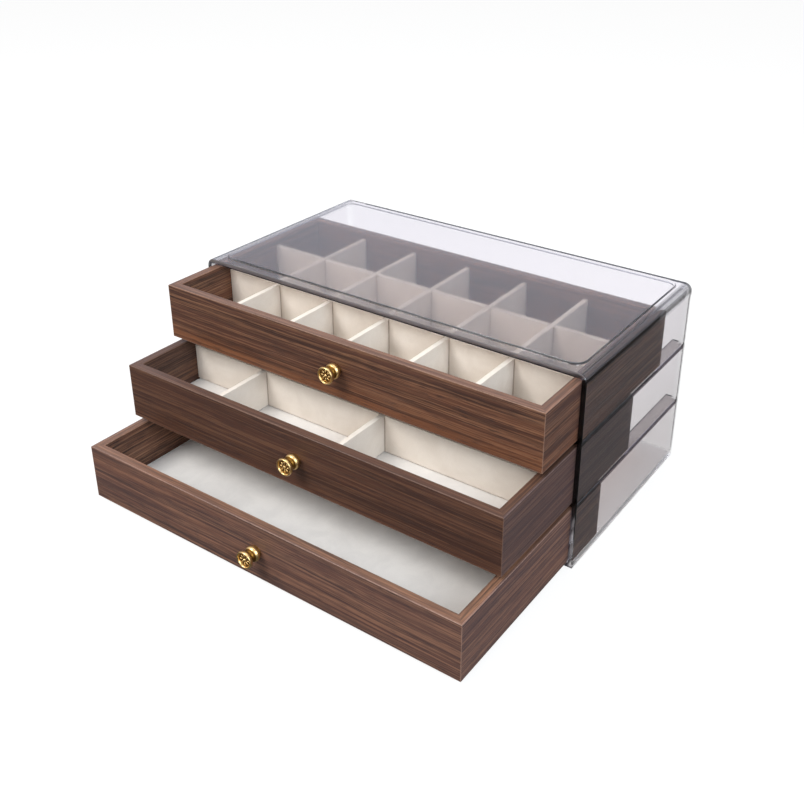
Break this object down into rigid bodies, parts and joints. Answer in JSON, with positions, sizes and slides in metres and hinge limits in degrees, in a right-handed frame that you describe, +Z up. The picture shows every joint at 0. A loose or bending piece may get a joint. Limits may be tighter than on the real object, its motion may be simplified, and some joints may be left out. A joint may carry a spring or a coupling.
{
  "type": "jewelry organizer",
  "caption": "Low see-through smoked plastic case, open at the front, with stacked wood-veneered drawers on side rails, lined and divided with pale felt, each with a brass knob.",
  "frame": {"origin": "middle of the case's underside, on the surface that the case stands on", "axes": "+X to the right-hand side as seen from the front, +Y to the case's back, +Z up; the drawers pull out along -Y"},
  "size_m": [0.28, 0.272, 0.128],
  "materials": {
    "smoked_plastic": "clear smoked grey, polished",
    "walnut_veneer": "dark walnut-look film with fine streaks along each wall, satin",
    "bottom_board": "thin plain fibreboard",
    "felt": "pale cream felt, matt",
    "knob_brass": "antique brass, pressed pattern on the face",
    "screw_steel": "plain"
  },
  "bodies": {
    "case": {"case_shell": "smoked_plastic"},
    "bottom_drawer": {"bottom_front_panel": "walnut_veneer", "bottom_back_panel": "walnut_veneer", "bottom_left_side": "walnut_veneer", "bottom_right_side": "walnut_veneer", "bottom_bottom_board": "bottom_board", "bottom_floor_lining": "felt", "bottom_knob": "knob_brass", "bottom_knob_screw": "screw_steel"},
    "middle_drawer": {"middle_front_panel": "walnut_veneer", "middle_back_panel": "walnut_veneer", "middle_left_side": "walnut_veneer", "middle_right_side": "walnut_veneer", "middle_bottom_board": "bottom_board", "middle_floor_lining": "felt", "middle_knob": "knob_brass", "middle_knob_screw": "screw_steel", "middle_long_divider_1": "felt", "middle_cross_divider_1": "felt", "middle_cross_divider_2": "felt"},
    "top_drawer": {"top_front_panel": "walnut_veneer", "top_back_panel": "walnut_veneer", "top_left_side": "walnut_veneer", "top_right_side": "walnut_veneer", "top_bottom_board": "bottom_board", "top_floor_lining": "felt", "top_knob": "knob_brass", "top_knob_screw": "screw_steel", "top_long_divider_1": "felt", "top_long_divider_2": "felt", "top_cross_divider_1": "felt", "top_cross_divider_2": "felt", "top_cross_divider_3": "felt", "top_cross_divider_4": "felt", "top_cross_divider_5": "felt"}
  },
  "joints": [
    {"name": "bottom_drawer_slide", "type": "slide", "parent": "case", "child": "bottom_drawer", "axis": [0, -1, 0], "range_m": [-0.112, 0.008]},
    {"name": "middle_drawer_slide", "type": "slide", "parent": "case", "child": "middle_drawer", "axis": [0, -1, 0], "range_m": [-0.076, 0.044]},
    {"name": "top_drawer_slide", "type": "slide", "parent": "case", "child": "top_drawer", "axis": [0, -1, 0], "range_m": [-0.038, 0.082]}
  ]
}
